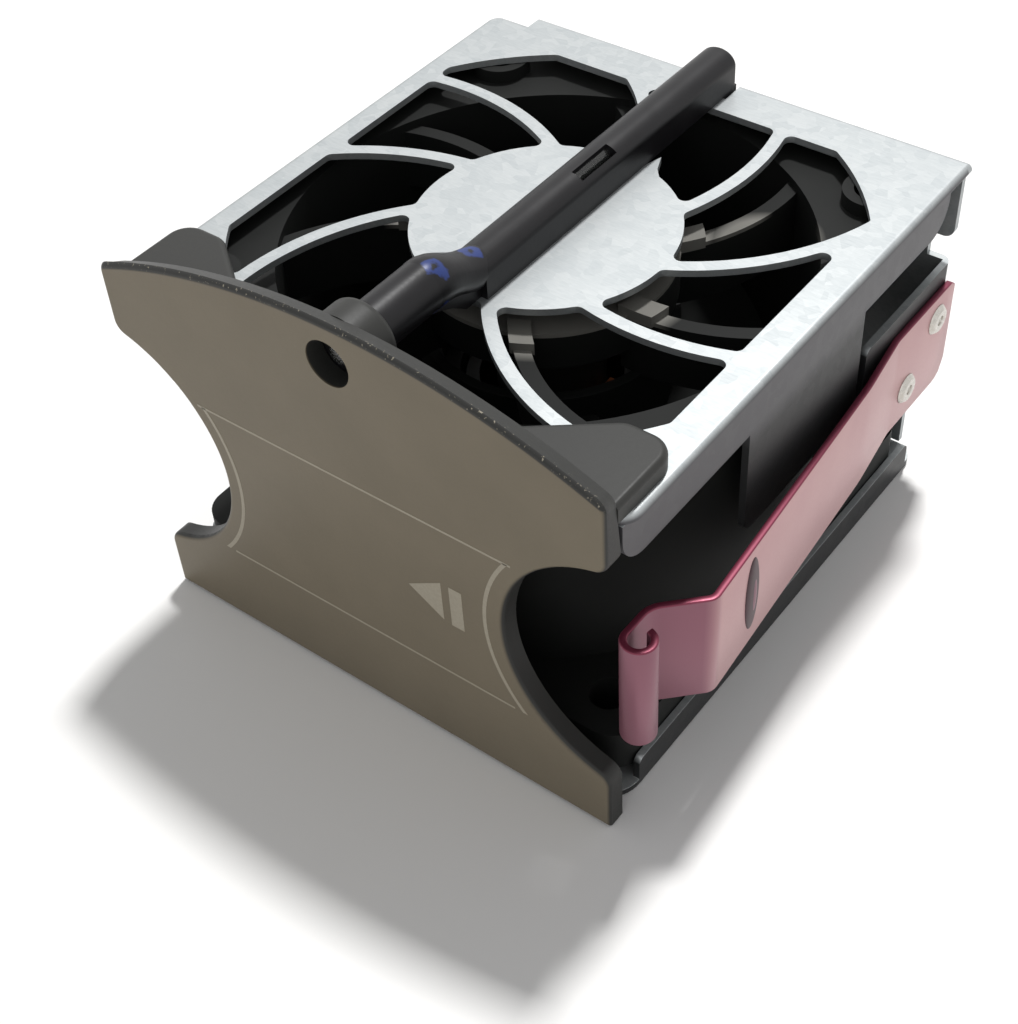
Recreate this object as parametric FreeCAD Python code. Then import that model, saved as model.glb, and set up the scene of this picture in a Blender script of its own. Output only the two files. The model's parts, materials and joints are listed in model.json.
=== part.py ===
import FreeCAD, Part
import math
import os

# Hot-plug fan module for a rack server, in millimetres.
# It lies on its lower air face. X is across the face plate, Y runs from the face plate to the
# connector end, and Z is the fan axis. The origin is on the fan axis, on the lower face.

V = FreeCAD.Vector
UP = V(0, 0, 1)
BACK = V(0, 1, 0)
SIDE = V(1, 0, 0)

# ---- driving dimensions ----

# clearances
seat_gap = 0.1            # between pieces that are put together and stay still
glue_gap = 0.05           # radial gap of a round piece in its seat
edge_tol = 0.1            # how closely an edge is picked out by its place
parallel_tol = 1e-6
end_gap = 0.3             # between the turning rotor's ends and what stands still
shaft_gap = 0.05          # radial running fit of the shaft in its bearings
flex_gap = 0.1            # split between the still and the moving stretch of the latch leaf

# fan
fan_w = 60.0              # square frame
fan_depth = 38.0
fan_flange_t = 5.5        # square end plates of the frame
fan_corner_r = 3.5
fan_bore_r = 28.7
fan_wall = 1.15           # round wall between the end plates
fan_hole_pitch = 50.0
fan_hole_r = 2.15
standoff_r = 3.4          # corner pads that the guards rest on
standoff_h = 1.6
intake_lip = 1.6          # flared mouth of the bore

# sheet metal cage
sheet_t = 0.8
side_play = 0.6           # room between the fan and the latch side flange
guard_overhang = 0.7      # edge of each guard beyond the latch side flange
rail_h = 6.4              # upper guard's side flanges
lower_rail_h = 4.0
lower_front_r = 4.0       # lower guard's front corners
lower_rail_r = 1.0
rail_end_r = 3.6
post_front_y = -10.0      # deep middle stretch of the upper guard's flanges
post_rear_y = 12.6
post_h = 20.0
post_r = 1.5
rail_inset = 0.4          # the flanges start this far behind a guard's front edge
guard_front_r = 2.6       # front corners
guard_rear_r = 0.5
guard_ear_r = 1.6         # rear corner beside the bent wall
ear_relief = 5.4          # length of the ear, from the left edge
ear_step = 2.2            # how far the ear stops short of the rear face
rear_y = 33.9             # outer face of the rear wall
bend_r = 1.3
bend_in_r = 0.75
hub_r = 14.45             # plain disc over the motor
window_r = 33.6           # the air openings end on this circle
window_half = 27.9        # and on this square
window_fillet = 0.9
spoke_n = 9
spoke_w = 1.5
spoke_arc_r = 28.9
spoke_lead = 25.0         # angle between a spoke's start and the radius, degrees
spoke_first = 3.0
spoke_sweep = 56.0
notch_w = 5.0             # gap in the rear bend that the light tube drops into
arm_lap = 4.0             # a curved arm starts this far inside its hub, degrees
drill_len = 6.0           # cutting rods, longer than any stack of sheets

# face plate
face_w = 61.9
face_t = 2.3
face_front_y = -34.4
face_rise = 10.2          # top of the arch above the upper guard
face_arch_r = 80.0
face_corner_r = 1.6
grip_r = 15.3             # round finger cut-outs
grip_offset = 33.8
grip_height = 23.1
foot_lip_r = 1.8
face_edge_r = 0.6
led_hole_r = 2.6
led_height = 5.25         # hole's centre above the upper guard
collar_r = 3.6
collar_len = 2.0
collar_edge_r = 0.5
tongue_len = 9.6
tongue_outer = 0.25       # the tongues stop this far inside the plate's ends
tongue_tip_w = 5.6
tongue_root_w = 19.0
tongue_t = 2.2
tongue_r = 2.6
tongue_edge_r = 0.7
lower_tongue_t = 1.2
lower_tongue_len = 4.0
lower_tongue_w = 9.0
lower_tongue_x = 15.0

# light tube and pipe
tube_w = 4.5
tube_side_h = 3.4         # height of the straight sides of the bar
tube_front_y = -16.0
tube_rear_y = 33.0
sleeve_r = 2.7            # round front stretch
sleeve_rear_y = -18.8
sleeve_nose_r = 2.0
neck_r = 2.1
neck_rear_y = -13.6
neck_reach = 1.2          # how far the neck's rod runs into both its ends
web_w = 2.8
web_arc_r = 13.3          # underside of the web that joins the sleeve to the bar's foot
web_arc_drop = 10.05      # its centre below the guard
tube_leg_depth = 2.6
tube_leg_drop = 1.9
tube_end_r = 0.5
tube_window = (3.6, 9.8, 1.4)      # start and end along Y, and width
tube_window_x = 0.3
tube_slot = (-8.6, -1.8, 1.0)      # in the left shoulder, the same way
slot_below = 1.2
slot_above = 0.6
pipe_r = 1.0
pipe_height = 3.1         # pipe's axis above the guard, in the bar
pipe_bend_r = 1.6
pipe_set_back = 1.5       # front end behind the plate's face
pipe_drop = 3.6           # rear end below the guard's top

# latch leaf
leaf_t = 0.8
leaf_low = 13.5
leaf_high = 27.4
leaf_lift_y = 20.6        # the leaf leaves the tab here
leaf_lift = 8.0           # first angle away from the cage, degrees
leaf_pivot_y = 18.2       # it flexes about here
leaf_ease_y = 12.0
leaf_flare = 4.45         # angle from there on
leaf_ease_r = 30.0
leaf_bend_y = -22.5
leaf_return_len = 4.5         # inward offset of the 45 degree stretch
leaf_bend_r = 1.3
leaf_neck_r = 3.0
curl_straight = 3.9
curl_r = 1.5
curl_turn = 262.0
leaf_corner_r = 2.4       # lower rear corner
leaf_upper_r = 0.6
catch_y = -14.8
catch_len = 8.0
catch_r = 1.4
catch_out = 0.6
tab_front_y = 14.2
tab_top = 29.9
tab_low = 14.0
tab_end_r = 1.0
wall_notch_top = 33.0     # relief between the upper wall and the latch tab
wall_inner_x = 28.6       # right end of the wall's lower stretch
wall_low = 1.0
rivet_places = ((30.0, 24.1), (24.0, 18.1))
rivet_r = 1.2
rivet_head_r = 1.9
rivet_head_h = 0.55
rivet_top_r = 1.4
rivet_far_r = 1.6
rivet_dimple_z = 0.2
rivet_dimple_r = 0.6

# rear joint of the two guards
lip_w = 46.0
lip_h = 9.0
lip_r = 2.0
lip_rivet_z = 5.0
lip_rivet_pitch = 17.0

# motor and rotor
base_r = 14.2
base_recess = 1.0         # motor base below the frame's end
base_t = 1.8
base_wall = 1.2
strut_n = 7
strut_first = 37.0
strut_t = 1.7
strut_h = 7.4
strut_sweep = 52.0        # degrees along its arc
strut_root = 1.0          # how far it starts inside the base
strut_bite = 0.4          # how far it runs into the frame's wall
strut_arc_r = 22.0
strut_lead = 12.0
cap_len = 2.6
cap_rise = 0.9
cap_w = 2.38
cap_sweep = 20.0
cup_r = 14.4
cup_wall = 1.2
cup_low = 5.2
cup_h = 25.6
cup_edge_r = 1.8
blade_n = 5
blade_low = 6.6
blade_h = 22.0
blade_t = 1.3
blade_reach_in = 2.2      # sections beyond the root and the tip, cut back later
blade_reach_out = 2.5
tip_gap = 0.6
root_pitch = 48.0         # blade angle from the plane of rotation, degrees
tip_pitch = 34.0
blade_camber = 2.2
yoke_wall = 0.9
yoke_h = 22.0
hub_wall = 1.6
hub_rise = 1.2
magnet_t = 1.9
magnet_h = 14.0
magnet_low = 9.6
shaft_r = 1.5
shaft_top = 37.0
bearing_r = 4.0
bearing_h = 4.0
race_t = 0.75
shield_inset = 0.3
lower_bearing_z = 12.2
upper_bearing_z = 30.0
bush_wall = 1.0
bush_low = 11.2
stator_n = 4
stator_r = 9.7
stator_ring_r = 6.2
stator_low = 13.6
stator_h = 8.0
pole_neck_w = 3.0
pole_shoe_t = 1.5
pole_root_lap = 0.5
pole_shoe_lap = 0.3
pole_gap_w = 1.6
coil_t = 1.1
insulator_t = 1.0
board_r = 12.0
board_t = 1.2
board_low = 33.6
clip_r = 2.7
clip_t = 0.6
clip_mouth = 2.2
groove_deep = 0.35
spring_r = 2.9
spring_t = 0.3

# connector end
conn_w = 22.0
conn_h = 9.0
conn_z = 18.5
conn_out = 4.6            # beyond the rear wall
conn_flange = 2.2
conn_corner_r = 0.8
conn_slots = 6
conn_pitch = 3.2
slot_w = 1.5
slot_h = 5.0
slot_deep = 5.0
contact_w = 0.9
contact_h = 3.4
pcb_t = 0.8
pcb_w = 30.0
pcb_low = 11.0
pcb_high = 38.6
pcb_y = 30.4
pcb_corner_r = 1.5
led_size = (2.0, 1.2, 1.6)

# ---- sizes that follow ----

fan_low = sheet_t + standoff_h
fan_high = fan_low + fan_depth
base_top = fan_high - base_recess
cage_h = fan_high + standoff_h + sheet_t
side_x = fan_w / 2 + side_play + sheet_t                   # outer face of the latch side flange
cage_left = -(fan_w / 2 + seat_gap + sheet_t)
cage_right = side_x + guard_overhang
face_back_y = face_front_y + face_t
cage_front_y = face_back_y + seat_gap
wall_in_y = rear_y - sheet_t
face_mid = (cage_left + cage_right) / 2
face_left = face_mid - face_w / 2
face_right = face_mid + face_w / 2
face_top = cage_h + face_rise
led_z = cage_h + led_height
pipe_z = cage_h + pipe_height
tube_top = cage_h + tube_side_h + tube_w / 2
leaf_mid_x = side_x + leaf_t / 2                            # the leaf lies on the tab
yoke_r = cup_r - cup_wall - glue_gap
hub_top = cup_low + cup_wall + yoke_wall + hub_rise
clip_low = upper_bearing_z + bearing_h + end_gap
bush_r = bearing_r + bush_wall


# ---- small helpers ----

def box(x0, x1, y0, y1, z0, z1):
    return Part.makeBox(x1 - x0, y1 - y0, z1 - z0, V(x0, y0, z0))


def disc(radius, z0, z1, x=0.0, y=0.0):
    return Part.makeCylinder(radius, z1 - z0, V(x, y, z0), UP)


def ring(outer, inner, z0, z1):
    return disc(outer, z0, z1).cut(disc(inner, z0 - 1, z1 + 1))


def rod(radius, start, axis, length):
    return Part.makeCylinder(radius, length, start, axis)


def prism(points, along):
    """A flat outline, given as corners, pushed along a vector."""
    wire = Part.makePolygon([V(*p) for p in points] + [V(*points[0])])
    return Part.Face(wire).extrude(along)


def turned(shape, angle, centre=V(0, 0, 0)):
    copy = shape.copy()
    copy.rotate(centre, UP, angle)
    return copy


def fuse(shapes):
    return shapes[0].multiFuse(list(shapes[1:])).removeSplitter()


def polar(radius, angle):
    return V(radius * math.cos(math.radians(angle)), radius * math.sin(math.radians(angle)), 0)


def edges_along(shape, axis, test=lambda p: True):
    """Straight edges parallel to an axis whose middle point passes the test."""
    found = []
    for edge in shape.Edges:
        if not isinstance(edge.Curve, (Part.Line, Part.LineSegment)):
            continue
        a, b = edge.Vertexes[0].Point, edge.Vertexes[-1].Point
        if (b - a).cross(axis).Length < parallel_tol and test((a + b) * 0.5):
            found.append(edge)
    return found


def save(name, shape):
    solids = shape.Solids
    result = solids[0] if len(solids) == 1 else Part.makeCompound(solids)
    assert result.isValid(), name
    result.exportStep("parts/" + name + ".step")
    print(name, len(solids), round(result.Volume, 1))


# ---- guards ----

def arc_band(centre, radius, width, start, sweep, z0, z1):
    """A curved strip: a ring's sector from a start angle."""
    outer = Part.makeCylinder(radius + width / 2, z1 - z0, V(0, 0, 0), UP, sweep)
    inner = disc(radius - width / 2, -1, z1 - z0 + 1)
    band = turned(outer.cut(inner), start)
    band.translate(centre + V(0, 0, z0))
    return band


def swirl_arm(angle, root_r, lead, radius, width, sweep, z0, z1):
    """A curved arm that leaves a hub at a lead angle from the radius."""
    heading = angle + lead
    centre = polar(root_r, angle) + polar(radius, heading + 90)
    return arc_band(centre, radius, width, heading - 90 - arm_lap, sweep, z0, z1)


def air_windows(z0, z1):
    """The openings between the spokes, as solids to cut away."""
    field = box(-window_half, window_half, -window_half, window_half, z0, z1)
    field = field.common(disc(window_r, z0, z1)).cut(disc(hub_r, z0, z1))
    step = 360.0 / spoke_n
    arms = [swirl_arm(spoke_first + i * step, hub_r, spoke_lead, spoke_arc_r, spoke_w,
                      spoke_sweep, z0, z1) for i in range(spoke_n)]
    field = field.cut(Part.makeCompound(arms))
    return Part.makeCompound([s.makeFillet(window_fillet, roomy_corners(s)) for s in field.Solids])


def roomy_corners(window):
    """Upright edges that have space for the fillet before the next one."""
    edges = edges_along(window, UP)
    def room(edge):
        middle = edge.CenterOfMass
        return min((middle - e.CenterOfMass).Length for e in edges if e is not edge)
    return [e for e in edges if room(e) > 2 * window_fillet]


def guard_plate(z0, right, rear, front_r, rear_r):
    """Flat sheet with rounded corners and the swirl of openings."""
    plate = box(cage_left, right, cage_front_y, rear, z0, z0 + sheet_t)
    plate = plate.makeFillet(front_r, edges_along(plate, UP, lambda p: p.y < 0))
    plate = plate.makeFillet(rear_r, edges_along(plate, UP, lambda p: p.y > rear - edge_tol))
    return plate.cut(air_windows(z0 - 1, z0 + sheet_t + 1))


def rail(x0, z_plate, z_end, inset, end_r):
    """Side flange between a guard's plate and its own free edge, which has rounded ends."""
    y1 = rear_y - bend_r - ear_step
    strip = box(x0, x0 + sheet_t, cage_front_y + inset, y1, min(z_plate, z_end), max(z_plate, z_end))
    return strip.makeFillet(end_r, edges_along(strip, SIDE, lambda p: abs(p.z - z_end) < edge_tol))


def post(x0):
    """Deep middle stretch of a side flange, with rounded lower corners."""
    strip = box(x0, x0 + sheet_t, post_front_y, post_rear_y, cage_h - post_h, cage_h - sheet_t / 2)
    low = edges_along(strip, SIDE, lambda p: p.z < cage_h - post_h + edge_tol)
    return strip.makeFillet(post_r, low)


def rear_wall():
    """Wall bent down from the upper guard, with the latch tab bent forward from its end."""
    left = cage_left + ear_relief
    upper = box(left, side_x, wall_in_y, rear_y, wall_notch_top, cage_h)
    upper = upper.makeFillet(bend_r, edges_along(upper, BACK, lambda p: p.x > 0 and p.z < cage_h - 1))
    lower = box(left, wall_inner_x, wall_in_y, rear_y, wall_low, wall_notch_top + 2)
    root = box(wall_inner_x - 2, side_x, wall_in_y, rear_y, tab_low, tab_top)
    tab = box(side_x - sheet_t, side_x, tab_front_y, rear_y, tab_low, tab_top)
    wall = fuse([upper, lower, root, tab])
    corner = edges_along(wall, UP, lambda p: p.x > side_x - edge_tol and p.y > rear_y - edge_tol
                         and p.z < tab_top)
    wall = wall.makeFillet(bend_r, corner)
    tab_ends = edges_along(wall, SIDE, lambda p: p.y < tab_front_y + edge_tol)
    return wall.makeFillet(tab_end_r, tab_ends)


def connector_window():
    w = conn_w / 2 + seat_gap
    h = conn_h / 2 + seat_gap
    return box(face_mid - w, face_mid + w, wall_in_y - 1, rear_y + 1, conn_z - h, conn_z + h)


def wall_rivet_holes(radius):
    holes = [rod(radius, V(x, rear_y - drill_len / 2, lip_rivet_z), BACK, drill_len) for x in lip_rivet_xs()]
    return Part.makeCompound(holes)


def lip_rivet_xs():
    return [face_mid + i * lip_rivet_pitch for i in (-1, 0, 1)]


def latch_rivet_holes(radius):
    holes = [rod(radius, V(side_x - drill_len / 2, y, z), SIDE, drill_len) for y, z in rivet_places]
    return Part.makeCompound(holes)


def top_guard():
    z0 = cage_h - sheet_t
    plate = guard_plate(z0, cage_right, rear_y, guard_front_r, guard_rear_r)
    # the ear: the sheet stops short beside the bent wall
    relief = box(cage_left - 1, cage_left + ear_relief, rear_y - ear_step, rear_y + 1, z0 - 1, cage_h + 1)
    plate = plate.cut(relief)
    ear = edges_along(plate, UP, lambda p: p.x < cage_left + 1 and p.y > 0)
    plate = plate.makeFillet(guard_ear_r, ear)
    parts = [plate, rear_wall()]
    for x0 in (cage_left, side_x - sheet_t):
        parts += [rail(x0, z0, cage_h - rail_h, rail_inset, rail_end_r), post(x0)]
    guard = fuse(parts)
    bend = edges_along(guard, SIDE, lambda p: p.y > rear_y - edge_tol and p.z > cage_h - edge_tol)
    guard = guard.makeFillet(bend_in_r, bend)
    half = notch_w / 2
    notch = box(face_mid - half, face_mid + half, tube_rear_y - tube_leg_depth - seat_gap,
                rear_y + 1, cage_h - tube_leg_drop - seat_gap, cage_h + 1)
    guard = guard.cut(notch).cut(connector_window())
    return guard.cut(wall_rivet_holes(rivet_r)).cut(latch_rivet_holes(rivet_r))


def bottom_guard():
    parts = [guard_plate(0, -cage_left, wall_in_y, lower_front_r, guard_front_r)]
    for x0 in (cage_left, -cage_left - sheet_t):
        parts.append(rail(x0, sheet_t, lower_rail_h, lower_front_r, lower_rail_r))
    lip = box(face_mid - lip_w / 2, face_mid + lip_w / 2, wall_in_y - sheet_t, wall_in_y, 0, lip_h)
    lip = lip.makeFillet(lip_r, edges_along(lip, BACK, lambda p: p.z > 1))
    parts.append(lip)
    return fuse(parts).cut(wall_rivet_holes(rivet_r))


def rivet(start, axis, grip):
    """Rivet through a stack of sheets: a coned head with a dimple, and a flat set head."""
    shank = rod(rivet_r, start - axis * edge_tol, axis, grip + 2 * edge_tol)
    far = rod(rivet_far_r, start - axis * rivet_head_h, axis, rivet_head_h)
    near = Part.makeCone(rivet_head_r, rivet_top_r, rivet_head_h, start + axis * grip, axis)
    dimple = rod(rivet_dimple_r, start + axis * (grip + rivet_dimple_z), axis, 1)
    return fuse([shank, far, near]).cut(dimple)


def cage_rivets():
    start_y = wall_in_y - sheet_t
    return Part.makeCompound([rivet(V(x, start_y, lip_rivet_z), BACK, 2 * sheet_t)
                              for x in lip_rivet_xs()])


def latch_rivets():
    return Part.makeCompound([rivet(V(side_x - sheet_t, y, z), SIDE, sheet_t + leaf_t)
                              for y, z in rivet_places])


# ---- face plate ----

def tongue(sign):
    """Pad that reaches back over a front corner of the upper guard."""
    outer = face_w / 2 - tongue_outer
    tip_y = face_back_y + tongue_len
    corners = ((outer, face_back_y - 0.5), (outer, tip_y), (outer - tongue_tip_w, tip_y),
               (outer - tongue_root_w, face_back_y - 0.5))
    pad = prism([(face_mid + sign * x, y, cage_h) for x, y in corners], V(0, 0, tongue_t))
    if pad.Volume < 0:
        pad = pad.reversed()
    tip = edges_along(pad, UP, lambda p: p.y > tip_y - edge_tol)
    pad = pad.makeFillet(tongue_r, tip)
    top = [e for e in pad.Edges if e.BoundBox.ZMin > cage_h + tongue_t - edge_tol / 2]
    return pad.makeFillet(tongue_edge_r, top)


def lower_tongue(sign):
    """Short strip that laps on the lower guard's inner face."""
    x = face_mid + sign * lower_tongue_x
    return box(x - lower_tongue_w / 2, x + lower_tongue_w / 2, face_back_y - 0.5,
               face_back_y + lower_tongue_len, sheet_t, sheet_t + lower_tongue_t)


def face_outline():
    """Arched plate with two round finger cut-outs, before its edges are rounded."""
    plate = box(face_left, face_right, face_front_y, face_back_y, 0, face_top)
    centre = V(face_mid, face_front_y - 1, face_top - face_arch_r)
    plate = plate.common(rod(face_arch_r, centre, BACK, face_t + 2))
    for sign in (-1, 1):
        centre = V(face_mid + sign * grip_offset, face_front_y - 1, grip_height)
        plate = plate.cut(rod(grip_r, centre, BACK, face_t + 2))
    def outer(p):
        return abs(p.x - face_mid) > face_w / 2 - edge_tol
    top = edges_along(plate, BACK, lambda p: outer(p) and p.z > cage_h)
    plate = plate.makeFillet(face_corner_r, top)
    feet = edges_along(plate, BACK, lambda p: outer(p) and p.z < cage_h)
    lips = [e for e in feet if e.BoundBox.ZMin > 1]
    plate = plate.makeFillet(foot_lip_r, lips)
    return plate


def face_plate():
    plate = face_outline()
    rim = [e for e in plate.Edges if e.BoundBox.YMax < face_front_y + edge_tol / 2]
    plate = plate.makeFillet(face_edge_r, rim)
    collar = rod(collar_r, V(face_mid, face_front_y + face_t / 2, led_z), BACK, face_t / 2 + collar_len)
    edge = [e for e in collar.Edges if e.Closed and e.CenterOfMass.y > face_back_y + collar_len - edge_tol]
    pieces = [plate, collar.makeFillet(collar_edge_r, edge)]
    for sign in (-1, 1):
        pieces += [tongue(sign), lower_tongue(sign)]
    body = fuse(pieces)
    body = body.cut(rod(led_hole_r, V(face_mid, face_front_y - 1, led_z), BACK, face_t + 2))
    return body.cut(rod(sleeve_r + seat_gap, V(face_mid, face_back_y, led_z), BACK, collar_len + 1))


# ---- light tube and pipe ----

def arc_edge(centre, radius, start, end, u, v):
    """Arc in the plane of u and v, from a start angle to an end angle in degrees."""
    def at(angle):
        a = math.radians(angle)
        return centre + u * (radius * math.cos(a)) + v * (radius * math.sin(a))
    return Part.Arc(at(start), at((start + end) / 2), at(end)).toShape()


def pipe_path():
    """Axis of the light pipe: forward hole, step down in the neck, bar, bend into the leg."""
    x = face_mid
    y_start = face_front_y + pipe_set_back
    drop = led_z - pipe_z
    run = neck_rear_y - sleeve_rear_y + 2 * neck_reach
    radius = (run ** 2 + drop ** 2) / (4 * drop)
    half = math.degrees(math.atan2(run / 2, radius - drop / 2))
    y0 = (sleeve_rear_y + neck_rear_y) / 2 - run / 2
    y1 = y0 + run
    leg_y = tube_rear_y - tube_leg_depth / 2
    first = arc_edge(V(x, y0, led_z - radius), radius, 90, 90 - half, BACK, UP)
    second = arc_edge(V(x, y1, pipe_z + radius), radius, 270 - half, 270, BACK, UP)
    turn = arc_edge(V(x, leg_y - pipe_bend_r, pipe_z - pipe_bend_r), pipe_bend_r, 90, 0, BACK, UP)
    lines = [Part.makeLine(V(x, y_start, led_z), V(x, y0, led_z)), first, second,
             Part.makeLine(V(x, y1, pipe_z), V(x, leg_y - pipe_bend_r, pipe_z)), turn,
             Part.makeLine(V(x, leg_y, pipe_z - pipe_bend_r), V(x, leg_y, cage_h - pipe_drop))]
    return Part.Wire(lines)


def along_path(path, radius):
    start = path.Edges[0].Vertexes[0].Point
    profile = Part.Wire([Part.makeCircle(radius, start, BACK)])
    return path.makePipeShell([profile], True, False)


def light_pipe():
    return along_path(pipe_path(), pipe_r)


def tube_bar(start_y, end_y):
    """Bar with straight sides and a half-round top, standing on the guard."""
    half = tube_w / 2
    z = cage_h + tube_side_h
    side = box(face_mid - half, face_mid + half, start_y, end_y, cage_h, z)
    crown = rod(half, V(face_mid, start_y, z), BACK, end_y - start_y)
    return side.fuse(crown.common(box(face_mid - half, face_mid + half, start_y, end_y, z, z + half)))


def tube_sleeve():
    """Round front stretch with a domed rear end."""
    start = V(face_mid, face_back_y + seat_gap, led_z)
    sleeve = rod(sleeve_r, start, BACK, sleeve_rear_y - start.y)
    nose = [e for e in sleeve.Edges if e.Closed and e.CenterOfMass.y > sleeve_rear_y - edge_tol]
    return sleeve.makeFillet(sleeve_nose_r, nose)


def tube_neck():
    """Slanting rod from the sleeve down to the crown of the bar."""
    high = V(face_mid, sleeve_rear_y - neck_reach, led_z)
    low = V(face_mid, neck_rear_y + neck_reach, cage_h + tube_side_h)
    run = low - high
    return rod(neck_r, high, run.normalize(), (low - high).Length)


def tube_web():
    """Flat web under the neck and sleeve, hollowed by an arc."""
    arc_y = tube_front_y - math.sqrt(web_arc_r ** 2 - web_arc_drop ** 2)
    web = box(face_mid - web_w / 2, face_mid + web_w / 2, arc_y, neck_rear_y, cage_h, led_z - neck_r / 2)
    centre = V(face_mid - web_w, arc_y, cage_h - web_arc_drop)
    return web.cut(rod(web_arc_r, centre, SIDE, 2 * web_w))


def light_tube():
    bar = tube_bar(neck_rear_y, tube_rear_y)
    end = [e for e in bar.Edges if e.BoundBox.YMin > tube_rear_y - edge_tol / 2
           and e.BoundBox.ZMax > cage_h + 1]
    bar = bar.makeFillet(tube_end_r, end)
    leg = box(face_mid - tube_w / 2, face_mid + tube_w / 2, tube_rear_y - tube_leg_depth, tube_rear_y,
              cage_h - tube_leg_drop, cage_h + tube_end_r)
    tube = fuse([tube_sleeve(), tube_neck(), tube_web(), bar, leg])
    start, end, width = tube_window
    tube = tube.cut(box(face_mid + tube_window_x, face_mid + tube_window_x + width, start, end,
                        pipe_z, tube_top + 1))
    start, end, width = tube_slot
    side = face_mid - tube_w / 2
    shoulder = cage_h + tube_side_h
    tube = tube.cut(box(side - 1, side + width, start, end, shoulder - slot_below, shoulder + slot_above))
    return tube.cut(along_path(pipe_path(), pipe_r + seat_gap))


# ---- latch ----

def leaf_band(path, low, high):
    """Strip of constant thickness that follows a path in plan."""
    start = path.Edges[0].Vertexes[0].Point
    tangent = path.Edges[0].tangentAt(path.Edges[0].FirstParameter)
    across = UP.cross(tangent).normalize() * (leaf_t / 2)
    foot = V(start.x, start.y, low)
    corners = [foot - across, foot + across, foot + across + UP * (high - low),
               foot - across + UP * (high - low)]
    profile = Part.makePolygon(corners + [corners[0]])
    return path.makePipeShell([profile], True, False)


def rounded_path(points, radii):
    """Wire through the points with an arc of each radius at the inner points."""
    edges = []
    last = points[0]
    for i, radius in enumerate(radii):
        corner, after = points[i + 1], points[i + 2]
        a = (last - corner).normalize()
        b = (after - corner).normalize()
        half = math.acos(max(-1, min(1, a.dot(b)))) / 2
        reach = radius / math.tan(half)
        p, q = corner + a * reach, corner + b * reach
        middle = corner + (a + b).normalize() * (radius / math.sin(half) - radius)
        edges += [Part.makeLine(last, p), Part.Arc(p, middle, q).toShape()]
        last = q
    edges.append(Part.makeLine(last, points[-1]))
    return edges


def leaf_line(y, x, angle, end_y):
    """Point at end_y on a line in plan that starts at x, y and leans outwards by the angle."""
    return V(x + (y - end_y) * math.tan(math.radians(angle)), end_y, leaf_low)


def leaf_points():
    """Middle of the leaf in plan: rivets, lift, pivot, ease, outer bend, neck, start of the curl."""
    rivets = V(leaf_mid_x, rear_y - seat_gap, leaf_low)
    lift = V(leaf_mid_x, leaf_lift_y, leaf_low)
    pivot = leaf_line(lift.y, lift.x, leaf_lift, leaf_pivot_y)
    ease = leaf_line(lift.y, lift.x, leaf_lift, leaf_ease_y)
    bend = leaf_line(ease.y, ease.x, leaf_flare, leaf_bend_y)
    neck = bend - V(leaf_return_len, leaf_return_len, 0)
    return rivets, lift, pivot, ease, bend, neck, neck - V(0, curl_straight, 0)


def latch_arm():
    pivot, ease, bend, neck, roll = leaf_points()[2:]
    start = leaf_line(pivot.y, pivot.x, leaf_lift, pivot.y - flex_gap)
    edges = rounded_path([start, ease, bend, neck, roll], [leaf_ease_r, leaf_bend_r, leaf_neck_r])
    edges.append(arc_edge(roll + V(curl_r, 0, 0), curl_r, 180, 180 + curl_turn, SIDE, BACK))
    arm = leaf_band(Part.Wire(edges), leaf_low, leaf_high)
    return arm.fuse(catch_boss()).removeSplitter()


def catch_boss():
    """Long boss pressed out of the leaf, which catches behind the edge of the bay."""
    ease = leaf_points()[3]
    face = leaf_line(ease.y, ease.x, leaf_flare, catch_y) + V(leaf_t / 2, 0, 0)
    x = face.x + catch_out - catch_r
    middle = (leaf_low + leaf_high) / 2
    half = catch_len / 2 - catch_r
    boss = rod(catch_r, V(x, catch_y, middle - half), UP, 2 * half)
    ends = [Part.makeSphere(catch_r, V(x, catch_y, middle + s * half)) for s in (-1, 1)]
    boss = fuse([boss] + ends)
    # the leaf's inner face stays flat
    keep = box(face.x - leaf_t / 2, face.x + catch_r, catch_y - catch_len, catch_y + catch_len,
               leaf_low, leaf_high)
    return boss.common(keep)


def latch_mount():
    """Stretch of the leaf that is riveted to the tab, with the start of its lift."""
    rivets, lift, pivot = leaf_points()[:3]
    leaf = leaf_band(Part.Wire(rounded_path([rivets, lift, pivot], [leaf_ease_r / 4])), leaf_low, leaf_high)
    low = edges_along(leaf, SIDE, lambda p: p.y > lift.y + 1 and p.z < leaf_low + edge_tol)
    leaf = leaf.makeFillet(leaf_corner_r, low)
    high = edges_along(leaf, SIDE, lambda p: p.y > lift.y + 1 and p.z > leaf_high - edge_tol)
    leaf = leaf.makeFillet(leaf_upper_r, high)
    return leaf.cut(latch_rivet_holes(rivet_r))


# ---- fan frame ----

def strut_arm(angle):
    arm = swirl_arm(angle, base_r - strut_root, strut_lead, strut_arc_r, strut_t, strut_sweep,
                    base_top - strut_h, base_top)
    ring_zone = disc(fan_bore_r + strut_bite, base_top - strut_h - 1, base_top + 1)
    arm = arm.common(ring_zone.cut(disc(base_r - base_wall, base_top - strut_h - 1, base_top + 1)))
    cap_zone = disc(base_r + cap_len, base_top - 1, base_top + cap_rise)
    cap = swirl_arm(angle, base_r - strut_root, strut_lead, strut_arc_r, cap_w, cap_sweep,
                    base_top - strut_root / 2, base_top + cap_rise)
    cap = cap.common(cap_zone.cut(disc(base_r - base_wall, base_top - 1, base_top + cap_rise)))
    return [arm, cap]


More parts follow.
